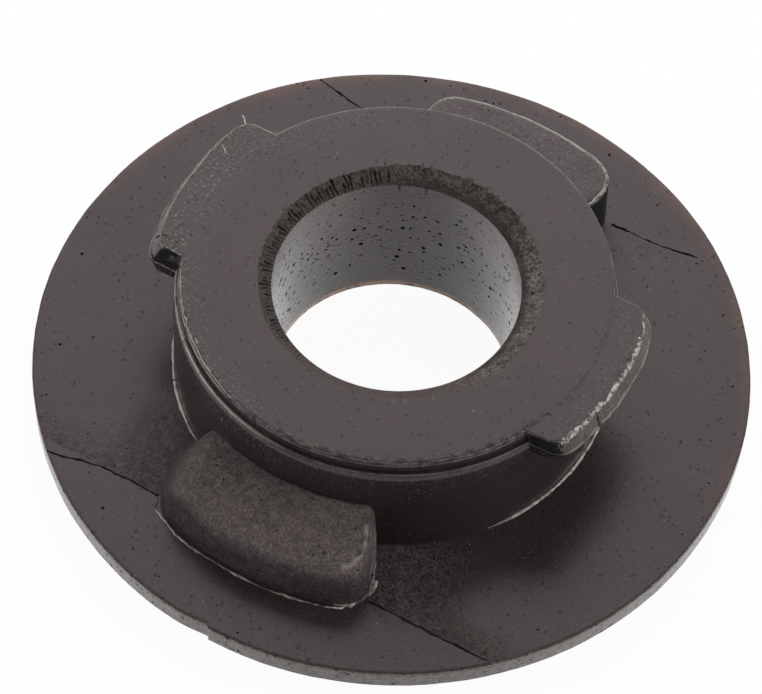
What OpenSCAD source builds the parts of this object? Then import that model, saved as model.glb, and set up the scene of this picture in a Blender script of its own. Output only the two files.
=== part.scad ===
// Twist-in rubber grommet, moulded in one piece: a wide flange that thins
// towards its trimmed rim, a short neck, a head with two locking lugs, two
// pads that press on the panel from below, and a straight bore through it all.
// The lugs lie along X and the pads along Y. The grommet rests on the flat
// ring round its bore, at Z = 0.

/* [Flange] */
// Outer diameter of the flange
flange_d = 30; // [27:0.5:36]
// Thickness of the flange where it meets the neck
flange_t = 2.05; // [1.6:0.05:2.6]
// Thickness of the flange at its trimmed rim
rim_t = 0.95; // [0.6:0.05:1.4]

/* [Neck and head] */
// Diameter of the neck at the flange
neck_d = 18.15; // [16:0.05:20]
// Overall height, from the seat to the top of the head
overall_h = 7.65; // [7.2:0.05:9]
// Taper of the neck's radius from the flange up to the shoulder
neck_taper = 0.05; // [0:0.05:0.3]
// Thickness of the top plate, down to the parting step
plate_t = 0.62; // [0.4:0.02:0.8]
// Width of the parting step round the foot of the top plate
parting_step = 0.14; // [0.05:0.01:0.25]
// Width of the sloped shoulder between the parting step and the neck
shoulder_w = 0.1; // [0.05:0.01:0.25]
// Height of that shoulder
shoulder_h = 0.25; // [0.1:0.05:0.4]

/* [Lugs] */
// Reach of each lug beyond the neck
lug_reach = 1.3; // [0.8:0.05:2]
// Width of each lug
lug_w = 7.8; // [5:0.1:10]
// Thickness of each lug, from the top of the head to its underside
lug_t = 1.15; // [1:0.05:1.6]
// Corner radius of each lug, seen from above
lug_corner_r = 0.7; // [0.3:0.1:1.2]
// Lean of the lug's outer face, above and below the parting step
lug_lean = 0.22; // [0:0.02:0.3]

/* [Pads] */
// Reach of each pad beyond the neck
pad_reach = 3.15; // [2:0.05:3.8]
// Height of each pad above the flange
pad_h = 2.6; // [1.6:0.1:3.2]
// Angle that each pad covers round the neck, in degrees
pad_span = 50; // [30:1:70]
// Radius along the pad's top outer edge
pad_edge_r = 0.5; // [0.2:0.1:1.5]
// Radius along the top of each pad's two ends
pad_end_r = 0.9; // [0.3:0.1:1.4]
// Radius of the pad's upright corners
pad_corner_r = 1.3; // [0.4:0.1:1.6]

/* [Bore] */
// Diameter of the bore
bore_d = 10.1; // [6:0.1:12]
// Width of the chamfer round the top of the bore
chamfer_w = 0.6; // [0.2:0.05:1]
// Depth of that chamfer
chamfer_depth = 0.52; // [0.2:0.02:1]
// How far the chamfer sits off centre, along X
chamfer_shift = 0.13; // [0:0.01:0.2]

/* [Parting lines] */
// Distance of each straight parting line from the middle of the flange
parting_y = 10.7; // [10:0.1:12]
// Width of the parting groove
groove_w = 0.24; // [0.1:0.02:0.4]

/* [Hidden] */
$fn = 128;
// Extra length on a cutter, or on a solid sunk into its neighbour
extra = 0.5;
// How far a rounding arc stands past the faces that it rounds, so that it
// crosses them and doesn't just touch them
lap = 0.04;

flange_r = flange_d / 2;
neck_r = neck_d / 2;
neck_top_r = neck_r - neck_taper;
step_r = neck_top_r - shoulder_w;
head_r = step_r - parting_step;
plate_z = overall_h - plate_t;
lug_z = overall_h - lug_t;
lug_r = neck_r + lug_reach;
pad_r = neck_r + pad_reach;
pad_top = flange_t + pad_h;
bore_r = bore_d / 2;
chamfer_z = overall_h - chamfer_depth;

// Half section of the round body: seat, tapered flange, neck and head
module body_section() {
    polygon([
        [0, 0],
        [neck_r, 0],
        [flange_r, flange_t - rim_t],
        [flange_r, flange_t],
        [neck_r, flange_t],
        [neck_top_r, plate_z - shoulder_h],
        [step_r, plate_z],
        [head_r, plate_z],
        [head_r, overall_h],
        [0, overall_h]
    ]);
}

// Waste outside an arc of radius r about the origin, between two directions
module arc_waste(r, from, to) {
    far = r + 2 * extra;
    middle = (from + to) / 2;
    difference() {
        polygon([
            [0, 0],
            [far * cos(from), far * sin(from)],
            [2 * far * cos(middle), 2 * far * sin(middle)],
            [far * cos(to), far * sin(to)]
        ]);
        circle(r = r);
    }
}

// V-shaped groove left by the mould's parting line, straight across the flange
module parting_groove() {
    for (side = [-1, 1])
        translate([0, side * parting_y, flange_t])
            rotate([45, 0, 0])
                cube([flange_d + extra, groove_w / sqrt(2), groove_w / sqrt(2)], center = true);
}

// Plan of one lug that points along +X, with its outer corners rounded
module lug_plan(reach_r, width) {
    arc_d = reach_r - lug_corner_r + lap;
    arc_y = width / 2 - lug_corner_r + lap;
    arc_x = sqrt(pow(arc_d, 2) - pow(arc_y, 2));
    difference() {
        intersection() {
            circle(r = reach_r);
            translate([0, -width / 2])
                square([reach_r + extra, width]);
        }
        for (side = [0, 1])
            mirror([0, side])
                translate([arc_x, arc_y])
                    arc_waste(lug_corner_r, atan2(arc_y, arc_x), 90);
    }
}

// One lug: its lower half leans in below the parting step, its top half above it
module lug() {
    intersection() {
        translate([0, 0, lug_z])
            linear_extrude(height = plate_z - lug_z)
                lug_plan(lug_r, lug_w);
        translate([0, 0, lug_z])
            cylinder(r1 = lug_r - lug_lean, r2 = lug_r, h = plate_z - lug_z);
    }
    top_r = lug_r - parting_step;
    intersection() {
        translate([0, 0, plate_z])
            linear_extrude(height = plate_t)
                lug_plan(top_r, lug_w - 2 * parting_step);
        translate([0, 0, plate_z])
            cylinder(r1 = top_r, r2 = top_r - lug_lean, h = plate_t);
    }
}

// Section of a pad, from inside the neck outwards, with its top outer edge rounded
module pad_section() {
    inner_r = (bore_r + neck_r) / 2;
    difference() {
        translate([inner_r, flange_t - extra])
            square([pad_r - inner_r, pad_h + extra]);
        translate([pad_r - pad_edge_r + lap, pad_top - pad_edge_r + lap])
            arc_waste(pad_edge_r, 0, 90);
    }
}

// Waste beside one end of a pad: the end lies along +X and the pad is in +Y
module pad_end_waste() {
    translate([0, pad_end_r - lap, pad_top - pad_end_r + lap])
        rotate([90, 0, 90])
            linear_extrude(height = pad_r + extra)
                arc_waste(pad_end_r, 90, 180);
    arc_d = pad_r - pad_corner_r + lap;
    arc_y = pad_corner_r - lap;
    arc_x = sqrt(pow(arc_d, 2) - pow(arc_y, 2));
    translate([arc_x, arc_y, flange_t - 2 * extra])
        linear_extrude(height = pad_h + 3 * extra)
            arc_waste(pad_corner_r, -90, atan2(arc_y, arc_x));
}

// One pad, centred on +Y
module pad() {
    difference() {
        rotate([0, 0, 90 - pad_span / 2])
            rotate_extrude(angle = pad_span)
                pad_section();
        for (side = [0, 1])
            mirror([side, 0, 0])
                rotate([0, 0, 90 - pad_span / 2])
                    pad_end_waste();
    }
}

// Straight bore with its chamfer, which was cut slightly off centre
module bore() {
    translate([0, 0, -extra])
        cylinder(r = bore_r, h = overall_h + 2 * extra);
    translate([chamfer_shift, 0, chamfer_z])
        cylinder(r1 = bore_r, r2 = bore_r + chamfer_w, h = chamfer_depth);
}

module grommet() {
    color([0.33, 0.31, 0.30])
        difference() {
            union() {
                difference() {
                    rotate_extrude()
                        body_section();
                    parting_groove();
                }
                for (turn = [0, 180])
                    rotate([0, 0, turn]) {
                        lug();
                        pad();
                    }
            }
            bore();
        }
}

grommet();
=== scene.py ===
"""Looks of a moulded twist-in rubber grommet, and the plain studio stage that it stands on.

Shapes are worked in millimetres, in the same frame as the solid model, and are scaled to metres once.
"""

import functools
import math
import random
from types import SimpleNamespace

import bmesh
import bpy
from bpy.props import FloatProperty, FloatVectorProperty, IntProperty, PointerProperty
from mathutils import Matrix, Vector, noise


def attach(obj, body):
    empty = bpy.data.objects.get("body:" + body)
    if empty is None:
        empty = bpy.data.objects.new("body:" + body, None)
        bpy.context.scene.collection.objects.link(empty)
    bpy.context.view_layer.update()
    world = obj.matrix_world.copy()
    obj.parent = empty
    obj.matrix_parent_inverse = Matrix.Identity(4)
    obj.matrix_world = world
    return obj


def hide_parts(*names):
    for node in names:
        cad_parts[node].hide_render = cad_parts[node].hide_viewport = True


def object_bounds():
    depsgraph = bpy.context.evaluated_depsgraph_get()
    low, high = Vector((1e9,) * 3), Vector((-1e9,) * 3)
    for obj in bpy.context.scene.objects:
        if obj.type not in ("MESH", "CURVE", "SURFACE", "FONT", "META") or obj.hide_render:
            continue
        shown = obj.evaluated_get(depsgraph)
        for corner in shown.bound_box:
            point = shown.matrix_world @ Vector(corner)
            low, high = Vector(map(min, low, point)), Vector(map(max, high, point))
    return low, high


bl_info = {
    "name": "Twist-in rubber grommet",
    "version": (1, 0, 0),
    "blender": (4, 5, 0),
    "location": "View3D > Sidebar > Grommet",
    "description": "Builds a moulded twist-in rubber grommet and its studio stage",
    "category": "Mesh",
}

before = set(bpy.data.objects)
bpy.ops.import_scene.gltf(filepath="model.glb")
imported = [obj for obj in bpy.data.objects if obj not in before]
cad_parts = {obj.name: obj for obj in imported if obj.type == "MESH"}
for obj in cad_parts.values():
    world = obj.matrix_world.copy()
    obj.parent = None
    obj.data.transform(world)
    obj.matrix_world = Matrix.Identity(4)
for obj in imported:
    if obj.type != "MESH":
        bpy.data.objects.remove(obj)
SOLID_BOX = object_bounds()

MM = 0.001
BODY_NAME = "root"
NODE_NAME = "grommet"

# Places of the materials on the finished moulding, where place 0 is the moulded skin
CUT = 1
TORN = 2
# Place 3 is the very dark rubber inside the pores, and also painted shade on end walls that lie in shadow
PIT_AND_SHADE = 3

# Marks on the points of the skin, each from 0 to 1. The rubbed-edge mark is partly painted highlight, and
# the dark band mark is painted shade
SKIN_MARKS = ("worn", "eroded", "chipped", "dusty", "slot", "grainy", "narrow", "flash", "black")

# How far a solid is sunk into its neighbour, and how far a cutter stands clear, in mm
SUNK = 0.5

# Points closer than this are one point, in mm
WELD = 1e-4

# Grid that gives the pads their fine skin, in mm
PAD_GRID = 0.125

# Slots round the torn chamfer
SLOTS = 188

# Open pores in the bore, on the flange and on the rim: tries at a place, and the radii in mm
BORE_PORES = (280, (0.05, 0.06, 0.07, 0.085, 0.12))
FLANGE_PORES = (45, (0.04, 0.05, 0.06, 0.08))
RIM_PORES = (60, (0.04, 0.05, 0.07))

# Bends in degrees: where an edge starts to look rubbed and to carry its painted highlight, where it is
# fully so, and where it shades sharp
WEAR_AND_HIGHLIGHT_FROM = 20
WEAR_AND_HIGHLIGHT_FULLY = 30
SHARP_FROM = 30

# Size of the picture that the camera is aimed for, in pixels, and the width of its sensor, in mm
PICTURE_W = 762
PICTURE_H = 694
SENSOR_W = 36

# Each lamp: its name, its turn from the camera and its elevation in degrees, and its size in metres
LAMPS = (("key", 182, 40, 0.5), ("left", -92, 28, 0.28), ("right", 90, 26, 0.28), ("front", 45, 48, 0.3))
LAMP_DISTANCE = 0.5

# How much of the floor's colour is plain white where it is seen; the rest keeps the shadow
FLOOR_WHITE = 0.95
FLOOR_HALF = 2.0
FLOOR_BELOW = 0.00001

# The thin ridge on the front pad's right end: radius, angle in degrees and height of its places
PAD_RIDGE = (
    (9.9, -67.4, 4.74),
    (10.45, -67.05, 4.68),
    (11.15, -67.5, 4.6),
    (11.6, -69.1, 4.52),
    (11.8, -70.8, 4.42),
)

# The small cut across the edge of the lug on +X, in the same way
LUG_NICK = ((10.55, -9.9, 6.75), (10.2, -9.6, 7.1), (9.95, -9.2, 7.45), (9.8, -8.8, 7.62))


def length(name, millimetres, about):
    """A size in metres, written in millimetres."""
    return FloatProperty(name=name, description=about, default=millimetres * MM, precision=5, unit="LENGTH")


def angle(name, degrees, about):
    """An angle, written in degrees."""
    return FloatProperty(name=name, description=about, default=math.radians(degrees), unit="ROTATION")


def share(name, value, about):
    """A plain number with no unit."""
    return FloatProperty(name=name, description=about, default=value)


def colour(name, value, about):
    """A linear colour."""
    return FloatVectorProperty(
        name=name, description=about, default=value, subtype="COLOR", size=3, min=0, max=1
    )


def count(name, value, about):
    """A whole number."""
    return IntProperty(name=name, description=about, default=value)


class GrommetSizes(bpy.types.PropertyGroup):
    """Sizes of the moulding"""

    flange_r: length("Flange radius", SOLID_BOX[1].x / MM, "Radius of the flange at its rim")
    rim_t: length("Rim thickness", 0.95, "Thickness of the flange at its trimmed rim")
    flange_t: length("Flange top", 2.05, "Height of the flange's flat top above the seat")
    neck_r: length("Neck radius", 9.075, "Radius of the neck where it meets the flange")
    neck_top_r: length("Neck top radius", 9.02, "Radius of the neck below the shoulder")
    shoulder_r: length("Shoulder radius", 8.92, "Radius of the shoulder's upper edge")
    shoulder_h: length("Shoulder height", 0.25, "Height of the sloped shoulder")
    head_r: length("Head radius", 8.78, "Radius of the thin top plate")
    plate_t: length("Plate thickness", 0.62, "Thickness of the top plate, down to the parting step")
    overall_h: length("Overall height", SOLID_BOX[1].z / MM, "Height of the top of the head")
    bore_r: length("Bore radius", 5.05, "Radius of the bore")
    chamfer_r: length("Chamfer radius", 5.66, "Radius of the torn chamfer on the top of the head")
    chamfer_depth: length("Chamfer depth", 0.52, "Depth of the torn chamfer")
    chamfer_shift: length("Chamfer shift", 0.14, "How far the chamfer sits off centre, along X")
    lug_r: length("Lug reach", 10.34, "Radius of the lugs' outer face at the parting step")
    lug_top_r: length("Lug top reach", 10.0, "Radius of the lugs' top edge")
    lug_half_w: length("Lug half width", 3.88, "Half the width of a lug")
    lug_under_z: length("Lug underside", 6.5, "Height of the lugs' underside")
    lug_corner_r: length("Lug corner", 0.75, "Corner radius of a lug, seen from above")
    pad_r: length("Pad reach", 12.18, "Radius of the pads' outer wall")
    pad_top: length("Pad top", 4.65, "Height of the pads' top")
    pad_half_span: angle("Pad half span", 25.2, "Half the angle that a pad covers")
    parting_y: length("Parting line", 10.7, "Distance of the parting lines from the middle")
    edge_r: length("Edge radius", 0.06, "Small radius on the moulded edges")
    steps: count("Steps", 720, "Steps round the body")
    bore_steps: count("Bore steps", 960, "Steps round the bore and its torn chamfer")


class GrommetColours(bpy.types.PropertyGroup):
    """Colours of the rubber"""

    moulded: colour("Moulded rubber", (0.0225, 0.0178, 0.0174), "Colour of the moulded skin")
    # Colour of rubbed edges, and also of the painted highlights along edges that face the back light
    worn: colour("Worn edge", (0.34, 0.31, 0.29), "Colour of rubbed edges and thin flash")
    cut: colour("Cut rubber", (0.060, 0.043, 0.038), "Colour of the bore")
    rim: colour("Trimmed rim", (0.078, 0.061, 0.055), "Colour of the knife's cut round the flange")
    # Painted light: a paler brownish tone along the flange's rear edge, where the back light catches it
    rear_edge_light: colour("Rim tint", (0.09, 0.045, 0.028), "Brownish colour along the flange's rear edge")
    # The thin lip round the foot of the bore is painted a strong orange: painted glow of the floor's light
    # shining through it
    lip_glow: colour("Cut lip", (0.80, 0.48, 0.30), "Colour of the thin lip round the foot of the bore")
    flash: colour("Flash", (0.58, 0.54, 0.51), "Colour of the thin torn flash")
    torn: colour("Torn rubber", (0.058, 0.049, 0.045), "Colour of the torn chamfer")
    # Also the colour of painted shade: the band along the foot of the plate wall, and the end walls of the
    # lugs and the rear pad
    pore: colour("Pores", (0.006, 0.005, 0.005), "Colour of pores and pits")
    dust: colour("Dust", (0.42, 0.40, 0.38), "Colour of dust and pale specks")


class StageSizes(bpy.types.PropertyGroup):
    """Camera and lights"""

    azimuth: angle("Azimuth", 26.2, "Turn of the camera round the grommet")
    elevation: angle("Elevation", 56.86, "Height of the camera above the horizon")
    distance: length("Camera distance", 135.6, "Distance of the camera from the middle of the seat")
    focal: share("Focal length", 151.84, "Focal length in millimetres")
    roll: angle("Roll", -3.475, "Roll of the camera")
    middle_x: share("Middle across", 390.73, "Pixel column of the middle of the seat")
    middle_y: share("Middle down", 382.29, "Pixel row of the middle of the seat")
    sky: share("Sky", 0.24, "Strength of the even light from all round")
    key: share("Key light", 1.52, "Power of the large lamp behind")
    left: share("Left light", 1.2, "Power of the low lamp on the left")
    right: share("Right light", 1.5, "Power of the low lamp on the right")
    front: share("Front light", 0.35, "Power of the weak lamp at the front right")


def in_mm(group):
    """The group's values, with its lengths in millimetres."""
    values = SimpleNamespace()
    for name, prop in group.bl_rna.properties.items():
        if prop.type not in ("FLOAT", "INT") or name == "name":
            continue
        value = getattr(group, name)
        setattr(values, name, value / MM if prop.unit == "LENGTH" else value)
    return values


# Small tools for the meshes


def lump(place, grain, seed=0.0):
    """Smooth noise from -1 to 1 with features about as wide as grain, in mm."""
    return noise.noise(Vector(place) / grain + Vector((seed * 7.31, seed * 3.17, seed * 5.93)))


def rise(low, high, value):
    """0 at low, 1 at high, and a smooth step between them."""
    t = max(0.0, min(1.0, (value - low) / (high - low)))
    return t * t * (3 - 2 * t)


def fall(low, high, value):
    """1 at low, 0 at high, and a smooth step between them."""
    return 1 - rise(low, high, value)


def polar(co):
    """Radius and angle of a point, the angle in degrees from -180 to 180."""
    return math.hypot(co.x, co.y), math.degrees(math.atan2(co.y, co.x))


def at(radius, turn, height):
    """A place given by its radius, its angle in radians and its height."""
    return Vector((radius * math.cos(turn), radius * math.sin(turn), height))


def placed(name, data):
    """A new object in the scene."""
    obj = bpy.data.objects.new(name, data)
    bpy.context.scene.collection.objects.link(obj)
    return obj


def solid_object(bm, name):
    """Closes a bmesh into an object, with its faces pointing out."""
    bmesh.ops.remove_doubles(bm, verts=bm.verts, dist=WELD)
    bmesh.ops.recalc_face_normals(bm, faces=bm.faces)
    mesh = bpy.data.meshes.new(name)
    bm.to_mesh(mesh)
    bm.free()
    return placed(name, mesh)


def block(size, middle):
    """A box as a bmesh."""
    bm = bmesh.new()
    bmesh.ops.create_cube(bm, size=1)
    bmesh.ops.scale(bm, vec=size, verts=bm.verts)
    bmesh.ops.translate(bm, vec=middle, verts=bm.verts)
    return bm


def round_off(bm, edges, radius, segments):
    """Rounds the edges with a round of this radius."""
    bmesh.ops.bevel(
        bm,
        geom=edges,
        offset=radius,
        segments=segments,
        profile=0.5,
        affect="EDGES",
        material=-1,
    )


def slice_at(bm, place, across):
    """Cuts every face that the plane through place meets, and keeps both sides."""
    geom = bm.verts[:] + bm.edges[:] + bm.faces[:]
    bmesh.ops.bisect_plane(bm, geom=geom, plane_co=place, plane_no=across)


def apply_modifiers(obj):
    """Replaces the object's mesh by what its modifiers make of it."""
    depsgraph = bpy.context.evaluated_depsgraph_get()
    mesh = bpy.data.meshes.new_from_object(obj.evaluated_get(depsgraph))
    obj.modifiers.clear()
    old = obj.data
    obj.data = mesh
    bpy.data.meshes.remove(old)


def combine(obj, others, operation):
    """Joins the other solids to obj, or cuts them from it, and removes them."""
    for other in others:
        for material in obj.data.materials:
            other.data.materials.append(material)
        cut = obj.modifiers.new("combine", "BOOLEAN")
        cut.operation = operation
        cut.solver = "MANIFOLD"
        cut.object = other
        apply_modifiers(obj)
        bpy.data.objects.remove(other)


def turned(corners, steps, rounded=(), round_r=0.05):
    """A solid of revolution. Each corner is (radius, height, cuts up to the next corner).

    rounded lists the numbers of the corners that get a small round of radius round_r.
    """
    bm = bmesh.new()
    verts = [bm.verts.new((r, 0, z)) for r, z, _ in corners]
    for a, b in zip(verts, verts[1:]):
        bm.edges.new((a, b))
    if rounded:
        bmesh.ops.bevel(
            bm,
            geom=[verts[number] for number in rounded],
            offset=round_r,
            offset_type="OFFSET",
            segments=3,
            profile=0.5,
            affect="VERTICES",
            material=-1,
        )
    for (r1, z1, cuts), (r2, z2, _) in zip(corners, corners[1:]):
        middle = Vector((r1 + r2, 0, z1 + z2)) / 2
        edge = min(bm.edges, key=lambda e: (e.verts[0].co + e.verts[1].co - 2 * middle).length)
        if cuts:
            bmesh.ops.subdivide_edges(bm, edges=[edge], cuts=cuts)
    bmesh.ops.spin(
        bm,
        geom=bm.verts[:] + bm.edges[:],
        cent=(0, 0, 0),
        axis=(0, 0, 1),
        angle=2 * math.pi,
        steps=steps,
        use_merge=True,
    )
    bmesh.ops.remove_doubles(bm, verts=bm.verts, dist=WELD)
    bmesh.ops.recalc_face_normals(bm, faces=bm.faces)
    return bm


@functools.cache
def ridge_places():
    """Places close together along the pad's ridge, seen from above."""
    places = []
    for (r1, a1, _), (r2, a2, _) in zip(PAD_RIDGE, PAD_RIDGE[1:]):
        for number in range(10):
            r = r1 + (r2 - r1) * number / 10
            a = math.radians(a1 + (a2 - a1) * number / 10)
            places.append((r * math.cos(a), r * math.sin(a)))
    return places


def swept(path, width, height, sides=6):
    """A thin solid along path, a list of (place, size factor), with half sizes width and height."""
    places = [Vector(place) for place, _ in path]

    def station(number):
        forward = (places[min(number + 1, len(places) - 1)] - places[max(number - 1, 0)]).normalized()
        across = forward.cross(Vector((0, 0, 1))).normalized()
        up = across.cross(forward)
        factor = path[number][1]
        turn = Matrix((across * width * factor, up * height * factor, forward)).transposed()
        return Matrix.Translation(places[number]) @ turn.to_4x4()

    bm = bmesh.new()
    bmesh.ops.create_circle(bm, cap_ends=True, segments=sides, radius=1.0)
    last = station(0)
    bmesh.ops.transform(bm, matrix=last, verts=bm.verts)
    end = list(bm.faces)
    for number in range(1, len(places)):
        made = bmesh.ops.extrude_face_region(bm, geom=end)["geom"]
        if number > 1:
            bmesh.ops.delete(bm, geom=end, context="FACES_ONLY")
        here = station(number)
        ring = [g for g in made if isinstance(g, bmesh.types.BMVert)]
        bmesh.ops.transform(bm, matrix=here @ last.inverted(), verts=ring)
        end = [g for g in made if isinstance(g, bmesh.types.BMFace)]
        last = here
    return bm


# The moulding


def body_solid(s):
    """The round body: seat, tapered flange, neck, shoulder and head plate, still without its bore."""
    plate_z = s.overall_h - s.plate_t
    under_z = s.flange_t - s.rim_t
    ring = 0.17
    corners = [
        (0.0, 0.0, 1),
        (s.neck_r, 0.0, 3),
        (s.flange_r, under_z, 4),
        (s.flange_r, s.flange_t, 0),
        (s.flange_r - ring, s.flange_t, 13),
        (s.neck_r + ring, s.flange_t, 1),
        (s.neck_r, s.flange_t, 7),
        (s.neck_top_r, plate_z - s.shoulder_h, 1),
        (s.shoulder_r, plate_z, 0),
        (s.head_r, plate_z, 4),
        (s.head_r, s.overall_h - ring, 0),
        (s.head_r, s.overall_h, 1),
        (s.head_r - 2 * ring, s.overall_h, 6),
        (0.0, s.overall_h, 0),
    ]
    bm = turned(corners, s.steps, rounded=(3, 7, 8, 11), round_r=s.edge_r)
    for face in bm.faces:
        middle = face.calc_center_median()
        r = math.hypot(middle.x, middle.y)
        if r > s.flange_r - 0.02 and middle.z < s.flange_t - 0.01:
            face.material_index = CUT
    trim_rim(bm, s)
    nick_head_edge(bm, s)
    return solid_object(bm, "body_blank")


def trim_rim(bm, s):
    """Moves the rim inwards where the knife did, in flat strokes with a step where it started."""
    step_at = -90.0
    for v in bm.verts:
        r, a = polar(v.co)
        if r < s.flange_r - 1.2:
            continue
        near = rise(s.flange_r - 1.2, s.flange_r, r)
        around = Vector((math.cos(math.radians(a)), math.sin(math.radians(a)), 0)) * s.flange_r
        inward = 0.05 + 0.05 * lump(around, 6.0, 1) + 0.018 * lump(around, 1.3, 2)
        inward += 0.008 * lump(v.co, 0.35, 3)
        stroke = (a - step_at) % 360
        if stroke > 180:
            stroke -= 360
        if -6 < stroke < 0:
            inward += 0.13 * fall(0, 6, -stroke)
        inward = max(0.0, inward)
        scale = 1 - near * inward / r
        v.co.x *= scale
        v.co.y *= scale


def nick_head_edge(bm, s):
    """Roughens the plate's top edge and the shoulder's edge, where thin flash was torn away."""
    plate_z = s.overall_h - s.plate_t
    for v in bm.verts:
        r, a = polar(v.co)
        top_edge = r > s.head_r - 0.12 and v.co.z > s.overall_h - 0.12
        shoulder = r > s.head_r + 0.04 and abs(v.co.z - plate_z) < 0.08
        if top_edge:
            front = rise(-180, -150, a) * fall(-20, 10, a)
            ragged = 0.05 * lump(v.co, 0.22, 4) + 0.03 * lump(v.co, 0.9, 5)
            out = ragged * (0.25 + 0.75 * front) - 0.06 * front
            down = max(0.0, 0.07 * lump(v.co, 0.3, 6)) * front
            v.co.x *= 1 + out / r
            v.co.y *= 1 + out / r
            v.co.z -= down
        elif shoulder:
            out = 0.02 * lump(v.co, 0.5, 7) + 0.03 * lump(v.co, 2.5, 8)
            v.co.x *= 1 + out / r
            v.co.y *= 1 + out / r


def bore_cutter(s):
    """The tool that leaves the bore and its torn chamfer."""
    chamfer_z = s.overall_h - s.chamfer_depth
    above = 0.3
    slope = (s.chamfer_r - s.bore_r) / s.chamfer_depth
    corners = [
        (0.0, -SUNK, 0),
        (s.bore_r, -SUNK, 0),
        (s.bore_r, 0.0, 11),
        (s.bore_r, chamfer_z, 10),
        (s.chamfer_r + slope * above, s.overall_h + above, 0),
        (0.0, s.overall_h + above, 0),
    ]
    bm = turned(corners, s.bore_steps)
    for face in bm.faces:
        face.material_index = TORN if face.calc_center_median().z > chamfer_z else CUT
    for v in bm.verts:
        r, a = polar(v.co)
        if r < s.bore_r - 0.1:
            continue
        around = Vector((v.co.x, v.co.y, 0)).normalized()
        along = rise(chamfer_z - 0.01, s.overall_h, v.co.z)
        v.co.x += s.chamfer_shift * along
        if v.co.z < chamfer_z - 0.05:
            wall = 0.012 * lump(v.co, 1.6, 11) + 0.006 * lump((v.co.x, v.co.y, v.co.z * 6), 0.8, 12)
            if v.co.z < 0.05:
                wall += 0.012 * lump(v.co, 0.25, 13)
            if v.co.z > chamfer_z - 0.3:
                wall += 0.02 * lump(v.co, 0.3, 18)
            v.co += around * wall
            continue
        grainy, narrow = torn_zones(a)
        slot = torn_slot(a, along) * (1 - grainy) * (1 - 0.75 * narrow)
        grain = (0.10 * lump(v.co, 0.14, 16) + 0.06 * lump(v.co, 0.4, 17)) * (0.6 + 0.4 * grainy)
        flare = (0.10 + 0.08 * grainy) * (1 - narrow) * along
        v.co += around * (0.13 * slot + grain + flare - 0.02) * rise(0.0, 0.12, along)
    return solid_object(bm, "bore_cutter")


def torn_zones(a):
    """How grainy the torn chamfer is at an angle in degrees, and how narrow, each from 0 to 1."""
    grainy = rise(-60, -30, a) * fall(105, 138, a)
    narrow = rise(-130, -95, a) * fall(-45, -15, a)
    return grainy, narrow


def torn_slot(a, along):
    """1 in a slot of the torn chamfer and 0 on a ridge, for an angle and a share of the way up."""
    around = Vector((math.cos(math.radians(a)), math.sin(math.radians(a)), 0)) * 5.4
    turns = a * SLOTS / 360 - 0.6 * along + 0.35 * lump(around, 1.2, 14)
    turns += 0.4 * lump((around.x, around.y, 0.8 * along), 0.3, 19)
    slot = rise(0.3, 0.75, 0.5 + 0.5 * math.cos(2 * math.pi * turns))
    number = round(turns)
    deep = max(0.15, min(1.0, 0.65 + 1.6 * lump((number * 0.41, 0.3, 0.7), 0.5, 20)))
    reach = min(1.06, 0.78 + 1.0 * lump((number * 0.37, 0.2, 0.1), 0.5, 15))
    return slot * deep * fall(reach - 0.15, reach, along)


def paint_shade(obj, chosen):
    """Gives the very dark pit material to the faces that chosen picks by their normal and their middle, as
    painted shade on walls that lie in shadow.
    """
    bm = bmesh.new()
    bm.from_mesh(obj.data)
    bm.normal_update()
    for face in bm.faces:
        if chosen(face.normal, face.calc_center_median()):
            face.material_index = PIT_AND_SHADE
    bm.to_mesh(obj.data)
    bm.free()


def lug_bulge(side, x, y):
    """How far the rubbed-down outer face of a lug stands out of its arc. x and y are in the lug's own
    frame.
    """
    if side > 0:
        out = 0.13 * math.exp(-(((y - 2.2) / 1.4) ** 2)) - 0.05 * math.exp(-(((y + 1.8) / 0.8) ** 2))
    else:
        out = 0.19 * rise(0.6, 3.2, -y)
    return out * rise(8.2, 9.4, x)


def lug_layer(s, name, reach_low, reach_high, half_w, low, high, corner_r, edge_r):
    """One layer of a lug that points along +X, with rounded corners, an arched outer face and a lean.

    corner_r holds the corner radii at -Y and at +Y.
    """
    inner = s.bore_r + 1.6
    reach = max(reach_low, reach_high)
    size = (reach - inner, 2 * half_w, high - low)
    bm = block(size, ((reach + inner) / 2, 0, (low + high) / 2))
    for sign, corner_radius in zip((-1, 1), corner_r):
        corner = [
            e
            for e in bm.edges
            if all(v.co.x > reach - WELD and v.co.y * sign > half_w - WELD for v in e.verts)
        ]
        round_off(bm, corner, corner_radius, 9)
    top = max(bm.faces, key=lambda f: f.calc_center_median().z)
    rim = [e for e in top.edges if not all(v.co.x < inner + WELD for v in e.verts)]
    bmesh.ops.inset_region(bm, faces=[top], thickness=edge_r + 0.12, use_even_offset=True)
    round_off(bm, rim, edge_r, 3)
    cuts_across = 72
    for number in range(1, cuts_across):
        slice_at(bm, (0, half_w * (2 * number / cuts_across - 1), 0), (0, 1, 0))
    for inside in (0.3, 0.5, 0.9, 1.3, 1.7, 2.1):
        slice_at(bm, (reach - inside, 0, 0), (1, 0, 0))
    for number in range(1, 4):
        slice_at(bm, (0, 0, low + (high - low) * number / 4), (0, 0, 1))
    for v in bm.verts:
        far = max(0.0, (v.co.x - inner) / (reach - inner))
        t = (v.co.z - low) / (high - low)
        here = reach_low + (reach_high - reach_low) * t
        sag = here - math.sqrt(here * here - v.co.y * v.co.y)
        v.co.x += far * (here - reach - sag)
    return solid_object(bm, name)


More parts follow.
